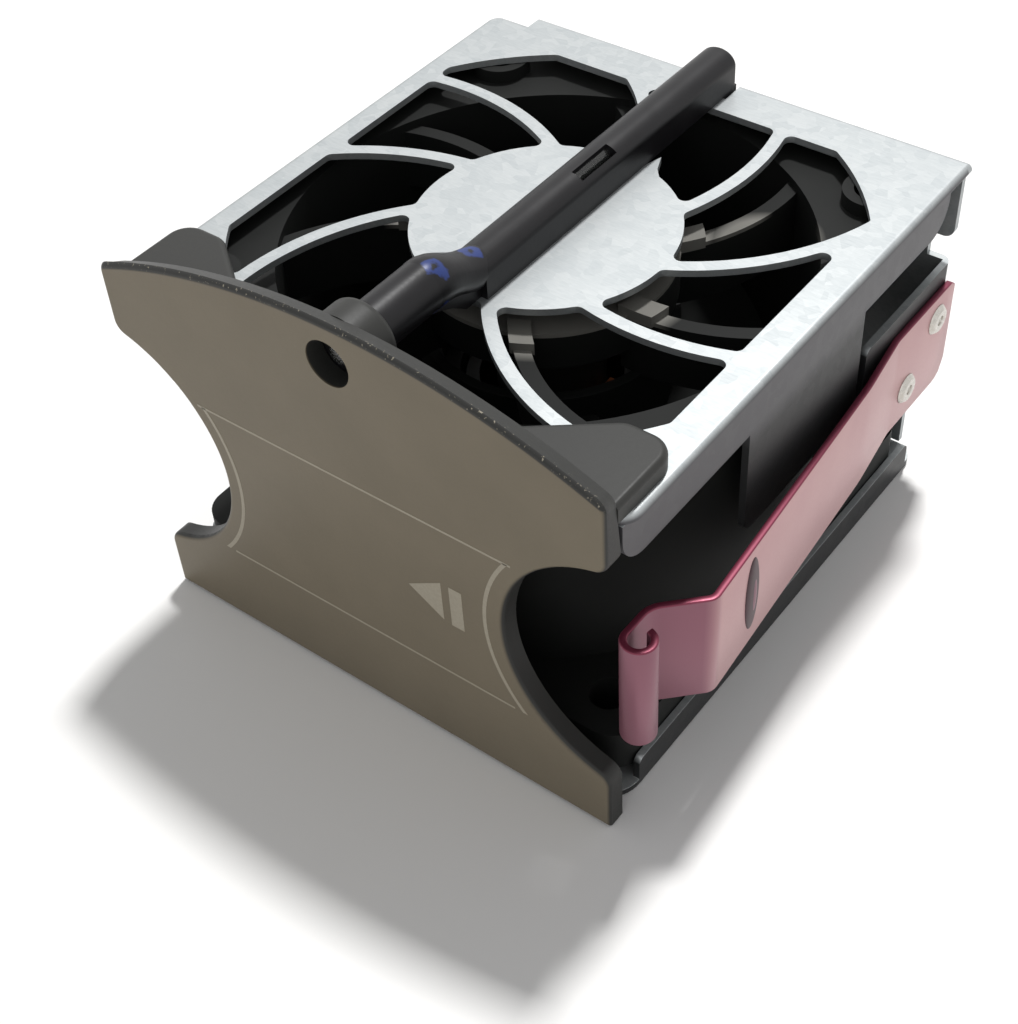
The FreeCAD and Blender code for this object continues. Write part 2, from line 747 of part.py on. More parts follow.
def fan_housing():
    half = fan_w / 2
    plates = []
    for z in (fan_low, fan_high - fan_flange_t):
        plate = box(-half, half, -half, half, z, z + fan_flange_t)
        plates.append(plate.makeFillet(fan_corner_r, edges_along(plate, UP)))
    barrel = disc(fan_bore_r + fan_wall, fan_low, fan_high)
    pads = []
    corner = fan_hole_pitch / 2
    places = [(sx * corner, sy * corner) for sx in (-1, 1) for sy in (-1, 1)]
    for x, y in places:
        pads.append(disc(standoff_r, fan_low - standoff_h, fan_low + 1, x, y))
        pads.append(disc(standoff_r, fan_high - 1, fan_high + standoff_h, x, y))
    frame = fuse(plates + [barrel] + pads)
    frame = frame.cut(disc(fan_bore_r, fan_low - 1, fan_high + 1))
    mouth = Part.makeCone(fan_bore_r + intake_lip, fan_bore_r, 2 * intake_lip, V(0, 0, fan_low), UP)
    frame = frame.cut(mouth)
    holes = [disc(fan_hole_r, 0, cage_h, x, y) for x, y in places]
    frame = frame.cut(Part.makeCompound(holes))
    arms = []
    for i in range(strut_n):
        arms += strut_arm(strut_first + i * 360.0 / strut_n)
    base = disc(base_r, base_top - base_t, base_top)
    skirt = ring(base_r, base_r - base_wall, board_low + board_t + seat_gap, base_top)
    spigot = disc(bush_r + bush_wall, board_low + board_t + seat_gap, base_top)
    spigot = spigot.cut(disc(bush_r + glue_gap, bush_low, base_top - base_t))
    return fuse([frame, base, skirt, spigot] + arms)


# ---- rotor ----

def blade_section(radius, pitch):
    """Closed cambered outline across a blade, in the plane square to the radius."""
    chord = blade_h / math.sin(math.radians(pitch))
    c, s = math.cos(math.radians(pitch)), math.sin(math.radians(pitch))
    def at(along, lift):
        return V(radius, along * c - lift * s, blade_low + blade_h / 2 + along * s + lift * c)
    lead, tail = -chord / 2, chord / 2
    camber = blade_camber
    upper = Part.Arc(at(lead, blade_t / 4), at(0, camber + blade_t / 2), at(tail, blade_t / 4)).toShape()
    nose = Part.makeLine(at(tail, blade_t / 4), at(tail, -blade_t / 4))
    lower = Part.Arc(at(tail, -blade_t / 4), at(0, camber - blade_t / 2), at(lead, -blade_t / 4)).toShape()
    close = Part.makeLine(at(lead, -blade_t / 4), at(lead, blade_t / 4))
    return Part.Wire([upper, nose, lower, close])


def impeller():
    tip_r = fan_bore_r - tip_gap
    sections = []
    for radius in (cup_r - blade_reach_in, (cup_r + tip_r) / 2, tip_r + blade_reach_out):
        share = (radius - cup_r) / (tip_r - cup_r)
        sections.append(blade_section(radius, root_pitch + share * (tip_pitch - root_pitch)))
    blade = Part.makeLoft(sections, True, False)
    zone = disc(tip_r, blade_low, blade_low + blade_h).cut(disc(cup_r - cup_wall / 2, 0, cage_h))
    blade = blade.common(zone)
    cup = disc(cup_r, cup_low, cup_low + cup_h)
    rim = [e for e in cup.Edges if e.Closed and e.CenterOfMass.z < cup_low + edge_tol]
    cup = cup.makeFillet(cup_edge_r, rim)
    cup = cup.cut(disc(cup_r - cup_wall, cup_low + cup_wall, cage_h))
    cup = cup.cut(disc(shaft_r + hub_wall + glue_gap, 0, cage_h))
    return fuse([cup] + [turned(blade, i * 360.0 / blade_n) for i in range(blade_n)])


def rotor_yoke():
    """Steel cup inside the impeller, with a hub on the shaft."""
    outer = yoke_r
    low = cup_low + cup_wall
    wall = ring(outer, outer - yoke_wall, low, low + yoke_h)
    floor = disc(outer, low, low + yoke_wall)
    hub = disc(shaft_r + hub_wall, cup_low, hub_top)
    return fuse([wall, floor, hub]).cut(disc(shaft_r + glue_gap, 0, cage_h))


def magnet_ring():
    outer = yoke_r - yoke_wall - glue_gap
    return ring(outer, outer - magnet_t, magnet_low, magnet_low + magnet_h)


def rotor_shaft():
    shaft = disc(shaft_r, cup_low, shaft_top)
    return shaft.cut(ring(shaft_r + 1, shaft_r - groove_deep, clip_low, clip_low + clip_t))


def retaining_ring():
    clip = ring(clip_r, shaft_r - groove_deep + glue_gap, clip_low + glue_gap, clip_low + clip_t - glue_gap)
    return clip.cut(box(-clip_mouth / 2, clip_mouth / 2, 0, clip_r + 1, 0, cage_h))


def preload_spring():
    """Coned disc spring between the rotor's hub and the lower bearing's inner ring."""
    low = hub_top + glue_gap
    high = lower_bearing_z - end_gap
    bore = shaft_r + shaft_gap
    profile = [V(bore, 0, high - spring_t), V(bore, 0, high), V(spring_r, 0, low + spring_t),
               V(spring_r, 0, low)]
    return Part.Face(Part.makePolygon(profile + profile[:1])).revolve(V(0, 0, 0), UP, 360)


# ---- stator ----

def bearing(low):
    """Ball bearing drawn as its two rings and a closed cage between them."""
    bore = shaft_r + shaft_gap
    outer = ring(bearing_r, bearing_r - race_t, low, low + bearing_h)
    inner = ring(bore + race_t, bore, low, low + bearing_h)
    cage = ring(bearing_r - race_t, bore + race_t, low + shield_inset, low + bearing_h - shield_inset)
    return fuse([outer, inner, cage])


def bearing_bush():
    """Tube that carries both bearings, with a shoulder between them."""
    bush = ring(bush_r, bearing_r + glue_gap, bush_low, base_top - base_t)
    shoulder = ring(bearing_r + glue_gap, bearing_r - race_t, lower_bearing_z + bearing_h, upper_bearing_z)
    return fuse([bush, shoulder])


def stator_core():
    """Laminated stack with four poles."""
    bore = bush_r + glue_gap
    low, high = stator_low, stator_low + stator_h
    core = ring(stator_ring_r, bore, low, high)
    shoes = ring(stator_r, stator_r - pole_shoe_t, low, high)
    gap = box(stator_ring_r, stator_r + 1, -pole_gap_w / 2, pole_gap_w / 2, low - 1, high + 1)
    neck = box(stator_ring_r - pole_root_lap, stator_r - pole_shoe_t + pole_shoe_lap, -pole_neck_w / 2,
               pole_neck_w / 2, low, high)
    step = 360.0 / stator_n
    shoes = shoes.cut(Part.makeCompound([turned(gap, (i + 0.5) * step) for i in range(stator_n)]))
    return fuse([core, shoes] + [turned(neck, i * step) for i in range(stator_n)])


def stator_coils():
    """Winding round each pole's neck."""
    w = pole_neck_w / 2
    x0 = stator_ring_r + glue_gap
    x1 = math.sqrt((stator_r - pole_shoe_t) ** 2 - (w + coil_t) ** 2) - glue_gap
    z0, z1 = stator_low, stator_low + stator_h
    outer = box(x0, x1, -w - coil_t, w + coil_t, z0 - coil_t, z1 + coil_t)
    coil = outer.cut(box(x0 - 1, x1 + 1, -w, w, z0, z1))
    return Part.makeCompound([turned(coil, i * 360.0 / stator_n) for i in range(stator_n)])


def stator_insulator():
    """Plastic end caps of the core, with a tube that carries the board."""
    bore = bush_r + glue_gap
    caps = []
    for z in (stator_low - insulator_t, stator_low + stator_h):
        caps.append(ring(stator_ring_r, bore, z, z + insulator_t))
        caps.append(ring(stator_r, stator_r - pole_shoe_t, z, z + insulator_t))
    legs = ring(stator_ring_r, bore, stator_low + stator_h + insulator_t, board_low)
    return Part.makeCompound(caps[:2] + [caps[3], fuse([caps[2], legs])])


def motor_board():
    return ring(board_r, bush_r + seat_gap, board_low, board_low + board_t)


# ---- connector end ----

def slot_xs():
    first = face_mid - conn_pitch * (conn_slots - 1) / 2
    return [first + i * conn_pitch for i in range(conn_slots)]


def connector_housing():
    front = pcb_y + pcb_t
    end = rear_y + conn_out
    body = box(face_mid - conn_w / 2, face_mid + conn_w / 2, front, end,
               conn_z - conn_h / 2, conn_z + conn_h / 2)
    body = body.makeFillet(conn_corner_r, edges_along(body, BACK))
    flange = box(face_mid - conn_w / 2 - conn_flange, face_mid + conn_w / 2 + conn_flange, front,
                 wall_in_y, conn_z - conn_h / 2 - conn_flange, conn_z + conn_h / 2 + conn_flange)
    body = fuse([body, flange])
    slots = [box(x - slot_w / 2, x + slot_w / 2, end - slot_deep, end + 1, conn_z - slot_h / 2,
                 conn_z + slot_h / 2) for x in slot_xs()]
    return body.cut(Part.makeCompound(slots))


def connector_contacts():
    """Blades that stand in the slots and pass through to the board."""
    end = rear_y + conn_out
    blades = [box(x - contact_w / 2, x + contact_w / 2, end - slot_deep, end - 1.0,
                  conn_z - contact_h / 2, conn_z + contact_h / 2) for x in slot_xs()]
    return Part.makeCompound(blades)


def connector_board():
    board = box(face_mid - pcb_w / 2, face_mid + pcb_w / 2, pcb_y, pcb_y + pcb_t, pcb_low, pcb_high)
    return board.makeFillet(pcb_corner_r, edges_along(board, BACK))


def status_led():
    w, d, h = led_size
    return box(face_mid - w / 2, face_mid + w / 2, pcb_y + pcb_t, pcb_y + pcb_t + d,
               pcb_high - h, pcb_high)


nodes = {
    "face_plate": face_plate, "top_guard": top_guard, "bottom_guard": bottom_guard,
    "cage_rivets": cage_rivets, "latch_mount": latch_mount, "latch_arm": latch_arm,
    "latch_rivets": latch_rivets, "light_tube": light_tube, "light_pipe": light_pipe,
    "fan_housing": fan_housing, "impeller": impeller, "rotor_yoke": rotor_yoke,
    "magnet_ring": magnet_ring, "rotor_shaft": rotor_shaft, "retaining_ring": retaining_ring,
    "preload_spring": preload_spring, "lower_bearing": lambda: bearing(lower_bearing_z),
    "upper_bearing": lambda: bearing(upper_bearing_z), "bearing_bush": bearing_bush,
    "stator_core": stator_core, "stator_coils": stator_coils,
    "stator_insulator": stator_insulator, "motor_board": motor_board,
    "connector_housing": connector_housing, "connector_contacts": connector_contacts,
    "connector_board": connector_board, "status_led": status_led,
}

os.makedirs("parts", exist_ok=True)
for node, make in nodes.items():
    save(node, make())
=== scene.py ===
import bmesh
import bpy
import json
import math
from mathutils import Matrix, Vector


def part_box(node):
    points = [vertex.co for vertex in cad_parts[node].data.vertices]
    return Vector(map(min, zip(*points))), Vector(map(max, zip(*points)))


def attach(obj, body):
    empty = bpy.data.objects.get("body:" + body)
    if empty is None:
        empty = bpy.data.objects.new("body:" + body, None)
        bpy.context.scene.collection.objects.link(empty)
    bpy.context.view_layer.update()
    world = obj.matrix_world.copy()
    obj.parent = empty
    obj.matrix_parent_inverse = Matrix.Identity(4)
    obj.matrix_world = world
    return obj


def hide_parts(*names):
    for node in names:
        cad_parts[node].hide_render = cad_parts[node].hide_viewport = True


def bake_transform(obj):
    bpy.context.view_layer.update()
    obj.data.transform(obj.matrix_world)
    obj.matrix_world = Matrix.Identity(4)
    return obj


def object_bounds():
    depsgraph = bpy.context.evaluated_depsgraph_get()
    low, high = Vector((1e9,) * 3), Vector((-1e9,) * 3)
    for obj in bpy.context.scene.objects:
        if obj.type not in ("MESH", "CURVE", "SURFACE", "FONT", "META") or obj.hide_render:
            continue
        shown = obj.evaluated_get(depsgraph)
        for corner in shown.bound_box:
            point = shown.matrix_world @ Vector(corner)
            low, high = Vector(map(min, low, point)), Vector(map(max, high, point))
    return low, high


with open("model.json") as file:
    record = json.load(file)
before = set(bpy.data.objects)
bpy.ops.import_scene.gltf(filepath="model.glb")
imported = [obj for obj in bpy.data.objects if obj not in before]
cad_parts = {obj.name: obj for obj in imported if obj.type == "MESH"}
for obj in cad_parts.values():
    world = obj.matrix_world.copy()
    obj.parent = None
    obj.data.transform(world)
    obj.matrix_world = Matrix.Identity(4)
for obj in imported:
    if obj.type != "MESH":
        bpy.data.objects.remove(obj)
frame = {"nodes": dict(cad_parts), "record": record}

# Hot-plug fan module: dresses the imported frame. Sizes are in metres, mm() makes them from millimetres.
cadLow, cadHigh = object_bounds()


def mm(value):
    return value * 0.001


def inMm(metres):
    return metres * 1000


def colour(code):
    # sRGB hex to the linear values that the shader wants
    parts = [int(code[i:i + 2], 16) / 255 for i in (1, 3, 5)]
    return [c / 12.92 if c <= 0.04045 else ((c + 0.055) / 1.055) ** 2.4 for c in parts] + [1.0]


def addNode(tree, kind, inputs=None, **settings):
    # one node with its settings, and its inputs set or linked
    node = tree.nodes.new(kind)
    for name, value in settings.items():
        setattr(node, name, value)
    for socket, value in (inputs or {}).items():
        if isinstance(value, bpy.types.NodeSocket):
            tree.links.new(value, node.inputs[socket])
        else:
            node.inputs[socket].default_value = value
    return node


def newMaterial(name):
    material = bpy.data.materials.new(name)
    material.use_nodes = True
    tree = material.node_tree
    tree.nodes.clear()
    place = addNode(tree, "ShaderNodeTexCoord").outputs["Object"]
    return material, tree, place


def closeMaterial(tree, inputs):
    shader = addNode(tree, "ShaderNodeBsdfPrincipled", inputs)
    addNode(tree, "ShaderNodeOutputMaterial", {"Surface": shader.outputs["BSDF"]})


def perMetre(size):
    # texture scale for a feature of that many millimetres
    return 1.0 / mm(size)


def noise(tree, place, size, detail, roughness=0.5):
    return addNode(tree, "ShaderNodeTexNoise", {"Vector": place, "Scale": perMetre(size), "Detail": detail,
                                                "Roughness": roughness}).outputs["Fac"]


def mixed(tree, factor, under, over):
    # two colours, each a hex code or a socket
    under, over = (colour(c) if isinstance(c, str) else c for c in (under, over))
    return addNode(tree, "ShaderNodeMix", {"Factor": factor, "A": under, "B": over},
                   data_type="RGBA").outputs["Result"]


def remap(tree, value, start, end, low=0.0, high=1.0):
    # start to end becomes low to high
    return addNode(tree, "ShaderNodeMapRange", {"Value": value, "From Min": start, "From Max": end,
                                                "To Min": low, "To Max": high}).outputs["Result"]


def spread(tree, value, limits):
    return remap(tree, value, 0.0, 1.0, *limits)


def maths(tree, operation, *values):
    return addNode(tree, "ShaderNodeMath", dict(enumerate(values)), operation=operation).outputs["Value"]


def axesOf(tree, vector):
    return addNode(tree, "ShaderNodeSeparateXYZ", {"Vector": vector}).outputs


def facing(tree):
    # which way the surface looks
    return axesOf(tree, addNode(tree, "ShaderNodeTexCoord").outputs["Normal"])


def distance(tree, place, centre, kept):
    # how far a point is from the centre, along the kept axes only
    moved = addNode(tree, "ShaderNodeMapping", {"Vector": place, "Location": [-c for c in centre],
                                                "Scale": kept})
    return addNode(tree, "ShaderNodeVectorMath", {0: moved.outputs["Vector"]},
                   operation="LENGTH").outputs["Value"]


def stretched(tree, place, scale):
    return addNode(tree, "ShaderNodeMapping", {"Vector": place, "Scale": scale}).outputs["Vector"]


def bumped(tree, height, strength, depth):
    return addNode(tree, "ShaderNodeBump", {"Height": height, "Strength": strength,
                                            "Distance": mm(depth)}).outputs["Normal"]


print("materials")

faceLow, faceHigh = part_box("face_plate")
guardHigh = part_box("top_guard")[1]
faceMiddle = (Vector(faceLow) + Vector(faceHigh)) / 2

bezelFinish = {
    "base": "#7E7462", "dark": "#716857", "worn": "#A8A08F", "body": "#30302E", "grain": 0.35, "blotch": 9.0,
    "archRadius": 79.3, "archCentre": -27.0, "rimWidth": 0.3, "rimBand": (-0.15, 0.05), "fleck": 0.3,
    "chipped": (0.63, 0.72), "wornDepth": 0.95, "wornFront": 0.3, "coat": (0.02, 0.22), "bump": (0.25, 0.03),
    "gloss": (0.42, 0.54), "shine": 0.28,
}


def mouldedBezelPlastic():
    # charcoal PC/ABS moulding with taupe paint on its front: the grain reads as a matt skin, and the
    # paint is chipped in flecks along the arch's rim
    f = bezelFinish
    material, tree, place = newMaterial("textured PC-ABS moulding")
    tone = mixed(tree, noise(tree, place, f["blotch"], detail=3.0, roughness=0.55), f["dark"], f["base"])
    rim = mm(f["archRadius"])
    reach = distance(tree, place, (faceMiddle.x, 0, mm(f["archCentre"])), (1, 0, 1))
    onRim = remap(tree, reach, rim, rim + mm(f["rimWidth"]))
    patchy = remap(tree, noise(tree, place, f["fleck"], detail=3.0), *f["chipped"])
    # the flecks keep to the rim's front half, the paint to the front face
    deep = axesOf(tree, place)["Y"]
    near = remap(tree, deep, faceLow.y + mm(f["wornDepth"]), faceLow.y + mm(f["wornFront"]))
    wear = maths(tree, "MULTIPLY", maths(tree, "MULTIPLY", onRim, patchy), near)
    behind = remap(tree, deep, *[faceLow.y + mm(c) for c in f["coat"]])
    band = remap(tree, reach, *[rim + mm(c) for c in f["rimBand"]])
    coated = mixed(tree, maths(tree, "MAXIMUM", behind, band), tone, f["body"])
    grain = noise(tree, place, f["grain"], detail=2.0)
    closeMaterial(tree, {"Base Color": mixed(tree, wear, coated, f["worn"]),
                         "Roughness": spread(tree, grain, f["gloss"]),
                         "Normal": bumped(tree, grain, *f["bump"]), "Specular IOR Level": f["shine"]})
    return material


zincFinish = {
    "light": "#BBBEBE", "dark": "#969B9D", "spangle": 1.2, "streak": 0.16, "drawn": (0.16, 1, 1),
    "spangleShare": 0.35, "streakShare": 0.65, "gloss": (0.52, 0.4), "bump": (0.15, 0.03),
    # the two dark flank tones and the heights over which they blend are painted shade
    "metallic": (0.15, 0.7), "turned": (0.25, 0.8), "flankShade": "#4E4D50", "lowFlankShade": "#1F2021",
    "shadeFall": (37.0, 34.5), "flank": 2.4, "lip": 2.0, "rear": 1.2, "sheet": 1.0,
}


def galvanisedSheet():
    # hot-dip galvanised sheet: pale zinc with small spangles and short rolling streaks
    f = zincFinish
    material, tree, place = newMaterial("galvanised steel sheet")
    cells = addNode(tree, "ShaderNodeTexVoronoi", {"Vector": place, "Scale": perMetre(f["spangle"])})
    tint = addNode(tree, "ShaderNodeSeparateColor", {"Color": cells.outputs["Color"]})
    streak = noise(tree, stretched(tree, place, f["drawn"]), f["streak"], detail=4.0)
    spangles = maths(tree, "MULTIPLY", tint.outputs["Red"], f["spangleShare"])
    both = maths(tree, "MULTIPLY_ADD", streak, f["streakShare"], spangles)
    # the bent side flanks and the faces turned down are painted with shade, dark and darkening downwards; the
    # rest is bare and bright
    x, y, z = axesOf(tree, place)
    flat = remap(tree, facing(tree)["Z"], *f["turned"])
    inside = maths(tree, "LESS_THAN", maths(tree, "ABSOLUTE", x), guardHigh.x - mm(f["flank"]))
    ahead = maths(tree, "LESS_THAN", y, guardHigh.y - mm(f["lip"]))
    onTop = maths(tree, "GREATER_THAN", z, guardHigh.z - mm(f["sheet"]))
    sheared = maths(tree, "MULTIPLY", maths(tree, "MULTIPLY", inside, ahead), onTop)
    behind = maths(tree, "GREATER_THAN", y, guardHigh.y - mm(f["rear"]))
    bright = maths(tree, "MAXIMUM", maths(tree, "MAXIMUM", flat, sheared), behind)
    # painted shade: set by facing and by height, darker further down
    shadeFall = remap(tree, z, *[mm(c) for c in f["shadeFall"]])
    skin = mixed(tree, bright, mixed(tree, shadeFall, f["flankShade"], f["lowFlankShade"]),
                 mixed(tree, both, f["dark"], f["light"]))
    closeMaterial(tree, {"Base Color": skin, "Roughness": spread(tree, both, f["gloss"]),
                         "Normal": bumped(tree, both, *f["bump"]),
                         "Metallic": spread(tree, bright, f["metallic"])})
    return material


latchFinish = {
    "face": "#C6A09F", "deep": "#B68A8E", "edge": "#7C2F45", "shade": "#8B5A68", "mottle": 9.0, "fine": 0.3,
    "curl": (-21.5, -23.5), "upright": (0.2, 0.6), "gloss": (0.32, 0.44), "bump": (0.08, 0.02),
    "metallic": 0.4,
}


def crimsonLacqueredSteel():
    # spring steel under a crimson lacquer: the broad face is painted pale mauve, the lacquer with its sheen
    # painted in; the sheared edges keep the full colour, and the curl is painted darker as shade
    f = latchFinish
    material, tree, place = newMaterial("crimson lacquered spring steel")
    tone = mixed(tree, noise(tree, place, f["mottle"], detail=3.0), f["deep"], f["face"])
    # the curl is painted darker, as shade
    curl = remap(tree, axesOf(tree, place)["Y"], *[mm(c) for c in f["curl"]])
    shadedCurl = mixed(tree, curl, tone, f["shade"])
    # by facing: the broad upright face takes the pale painted sheen, the edges facing up and down the full
    # crimson
    edge = remap(tree, maths(tree, "ABSOLUTE", facing(tree)["Z"]), *f["upright"])
    fine = noise(tree, place, f["fine"], detail=2.0)
    closeMaterial(tree, {"Base Color": mixed(tree, edge, shadedCurl, f["edge"]),
                         "Roughness": spread(tree, fine, f["gloss"]),
                         "Normal": bumped(tree, fine, *f["bump"]), "Metallic": f["metallic"]})
    return material


tubeFinish = {
    "light": "#1D1C1E", "dark": "#121113", "blotch": 4.0, "grain": 0.5, "gloss": (0.28, 0.46),
    "bump": (0.25, 0.03), "shine": 0.26, "ink": "#2C3C74", "smudges": ((1.75, -19.8), (0.7, -13.3)),
    "smudgeRadius": 0.75, "smear": 1.1, "fray": 1.6, "line": (1.25, 1.0), "inkAbove": 45.5,
}


def blackTubePlastic():
    # black polycarbonate moulding, scuffed satin, with two rubbed loops of blue marker ink on the neck
    f = tubeFinish
    material, tree, place = newMaterial("black polycarbonate moulding")
    blotch = noise(tree, place, f["blotch"], detail=4.0)
    smear = noise(tree, place, f["smear"], detail=2.0)
    raised = maths(tree, "GREATER_THAN", axesOf(tree, place)["Z"], mm(f["inkAbove"]))
    skin = mixed(tree, blotch, f["dark"], f["light"])
    for x, y in f["smudges"]:
        reach = distance(tree, place, (mm(x), mm(y), 0), (1, 1, 0))
        offLine = maths(tree, "ABSOLUTE", maths(tree, "SUBTRACT", reach, mm(f["smudgeRadius"])))
        frayed = maths(tree, "MULTIPLY_ADD", smear, mm(f["fray"]), offLine)
        loop = remap(tree, frayed, *[mm(c) for c in f["line"]])
        skin = mixed(tree, maths(tree, "MULTIPLY", loop, raised), skin, f["ink"])
    closeMaterial(tree, {"Base Color": skin, "Roughness": spread(tree, blotch, f["gloss"]),
                         "Normal": bumped(tree, noise(tree, place, f["grain"], detail=3.0), *f["bump"]),
                         "Specular IOR Level": f["shine"]})
    return material


# each dusty zone has a centre in plan and a radius
fanFinish = {
    "light": "#1C1D1C", "dark": "#131413", "blotch": 5.0, "grain": 0.4, "bump": (0.2, 0.02), "roughness": 0.6,
    "shine": 0.15, "dust": "#84827C", "dustAbove": 38.9, "dusty": (((0, 0), 18.5), ((19, 13), 6.3)),
    "fade": 1.5, "settled": (0.6, 1.0),
}


def dustyFanPlastic():
    # glass-filled PBT: matt black, with pale dust on the caps at the strut roots and along one strut
    f = fanFinish
    material, tree, place = newMaterial("glass-filled PBT moulding")
    blotch = noise(tree, place, f["blotch"], detail=4.0)
    zones = []
    for (x, y), radius in f["dusty"]:
        reach = distance(tree, place, (mm(x), mm(y), 0), (1, 1, 0))
        zones.append(remap(tree, reach, mm(radius), mm(radius - f["fade"])))
    high = maths(tree, "GREATER_THAN", axesOf(tree, place)["Z"], mm(f["dustAbove"]))
    both = maths(tree, "MULTIPLY", maths(tree, "MAXIMUM", *zones), high)
    dust = maths(tree, "MULTIPLY", both, spread(tree, blotch, f["settled"]))
    skin = mixed(tree, dust, mixed(tree, blotch, f["dark"], f["light"]), f["dust"])
    closeMaterial(tree, {"Base Color": skin, "Roughness": f["roughness"],
                         "Normal": bumped(tree, noise(tree, place, f["grain"], detail=2.0), *f["bump"]),
                         "Specular IOR Level": f["shine"]})
    return material


plainFinish = {"blotch": 6.0, "mouldBump": (0.1, 0.02), "mouldGloss": 0.05, "metalBump": (0.1, 0.02),
               "metalGloss": 0.06}


def plainPlastic(name, light, dark, roughness, grain=0.5):
    # injection moulding with a slight tone change and a fine skin
    f = plainFinish
    material, tree, place = newMaterial(name)
    skin = noise(tree, place, grain, detail=2.0)
    tone = mixed(tree, noise(tree, place, f["blotch"], detail=3.0), dark, light)
    gloss = (roughness - f["mouldGloss"], roughness + f["mouldGloss"])
    closeMaterial(tree, {"Base Color": tone, "Roughness": spread(tree, skin, gloss),
                         "Normal": bumped(tree, skin, *f["mouldBump"])})
    return material


def plainMetal(name, light, dark, roughness, stretch=(1, 1, 1), grain=0.4):
    # worked metal: tone and gloss follow fine tool marks, drawn out along the stretch
    f = plainFinish
    material, tree, place = newMaterial(name)
    marks = noise(tree, stretched(tree, place, stretch), grain, detail=4.0)
    gloss = (roughness + f["metalGloss"], roughness - f["metalGloss"])
    closeMaterial(tree, {"Base Color": mixed(tree, marks, dark, light),
                         "Roughness": spread(tree, marks, gloss),
                         "Normal": bumped(tree, marks, *f["metalBump"]), "Metallic": 1.0})
    return material


pipeFinish = {"tint": "#C9CCC8", "cloud": 2.0, "gloss": (0.08, 0.2), "clear": 0.97, "ior": 1.49}


def clearAcrylic():
    # moulded acrylic light pipe, a little cloudy
    f = pipeFinish
    material, tree, place = newMaterial("moulded acrylic")
    cloud = noise(tree, place, f["cloud"], detail=2.0)
    closeMaterial(tree, {"Base Color": colour(f["tint"]), "Roughness": spread(tree, cloud, f["gloss"]),
                         "Transmission Weight": f["clear"], "IOR": f["ior"]})
    return material


def flatCoat(name, dark, light, grain, gloss):
    # thin coat without a skin of its own
    material, tree, place = newMaterial(name)
    cloud = noise(tree, place, grain, detail=3.0)
    closeMaterial(tree, {"Base Color": mixed(tree, cloud, dark, light),
                         "Roughness": spread(tree, cloud, gloss)})
    return material


finishes = {
    "bezel": mouldedBezelPlastic(),
    "galvanised": galvanisedSheet(),
    "latch_steel": crimsonLacqueredSteel(),
    "rivet_steel": plainMetal("cold-headed steel", "#D5D2CC", "#A9A49C", 0.28),
    "tube_black": blackTubePlastic(),
    "clear_pipe": clearAcrylic(),
    "fan_black": dustyFanPlastic(),
    "yoke_steel": plainMetal("drawn steel", "#6E6E6C", "#4C4B4A", 0.4, (1, 1, 8)),
    "magnet": plainPlastic("bonded ferrite", "#33302E", "#232120", 0.6),
    "bearing_steel": plainMetal("ground bearing steel", "#D8D8DA", "#B4B4B8", 0.15, (1, 1, 10), 0.2),
    "bush_brass": plainMetal("turned brass", "#D3B678", "#A98B4C", 0.25, (1, 1, 10), 0.2),
    "core_steel": plainMetal("stacked electrical steel", "#8C8D90", "#4E4F52", 0.4, (0.05, 0.05, 1), 0.35),
    "copper": plainMetal("enamelled copper winding", "#7E4526", "#4E2A17", 0.35, (0.2, 0.2, 1), 0.25),
    "insulator": plainPlastic("black nylon slot liner", "#34332F", "#272623", 0.45),
    "board_green": plainPlastic("solder mask on glass epoxy", "#22613C", "#174A2C", 0.3, 0.6),
    "conn_black": plainPlastic("black nylon connector", "#26262A", "#18181B", 0.4),
    "contact_gold": plainMetal("gold flashed bronze", "#E6C878", "#BF9A4A", 0.2),
    "led_white": plainPlastic("white LED package", "#E9E9E4", "#D5D5CF", 0.35),
}

slotOf = {row["node"]: row["material_slot"] for row in frame["record"]["subparts"]}
bodyOf = {}
for bodyName, members in frame["record"]["behaviour"]["bodies"].items():
    for member in members:
        bodyOf[member] = bodyName

print("CAD nodes")

for nodeName, nodeObject in frame["nodes"].items():
    nodeObject.data.materials.clear()
    nodeObject.data.materials.append(finishes[slotOf[nodeName]])


weld = mm(0.001)


def shadeSmooth(mesh):
    mesh.polygons.foreach_set("use_smooth", [True] * len(mesh.polygons))


def meshFrom(work, name, sharp=None):
    # the bmesh as a mesh; where an angle is given, it is shaded smooth up to that angle
    bmesh.ops.recalc_face_normals(work, faces=work.faces)
    mesh = bpy.data.meshes.new(name)
    work.to_mesh(mesh)
    work.free()
    if sharp:
        shadeSmooth(mesh)
        mesh.set_sharp_from_angle(angle=math.radians(sharp))
    return mesh


def addRing(work, points):
    # closed loop of edges through points given in millimetres
    verts = [work.verts.new([mm(c) for c in point]) for point in points]
    return [work.edges.new(pair) for pair in zip(verts, verts[1:] + verts[:1])]


def addSkin(work, rings):
    # bridges each ring to the next one and closes both ends
    for near, far in zip(rings, rings[1:]):
        bmesh.ops.bridge_loops(work, edges=near + far)
    for ring in (rings[0], rings[-1]):
        work.faces.new([edge.verts[0] for edge in ring])


def addSlab(work, corners, offset):
    # flat patch through the corners, extruded by the offset
    face = work.faces.new([work.verts.new(corner) for corner in corners])
    grown = bmesh.ops.extrude_face_region(work, geom=[face])
    moved = [v for v in grown["geom"] if isinstance(v, bmesh.types.BMVert)]
    bmesh.ops.translate(work, verts=moved, vec=offset)


def newPiece(name, mesh, slotName, bodyName="chassis", coat=None):
    mesh.update()
    piece = bpy.data.objects.new(name, mesh)
    bpy.context.scene.collection.objects.link(piece)
    piece.data.materials.clear()
    piece.data.materials.append(coat or finishes[slotName])
    if bodyName:
        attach(piece, bodyName)
    return piece


print("eased pieces")

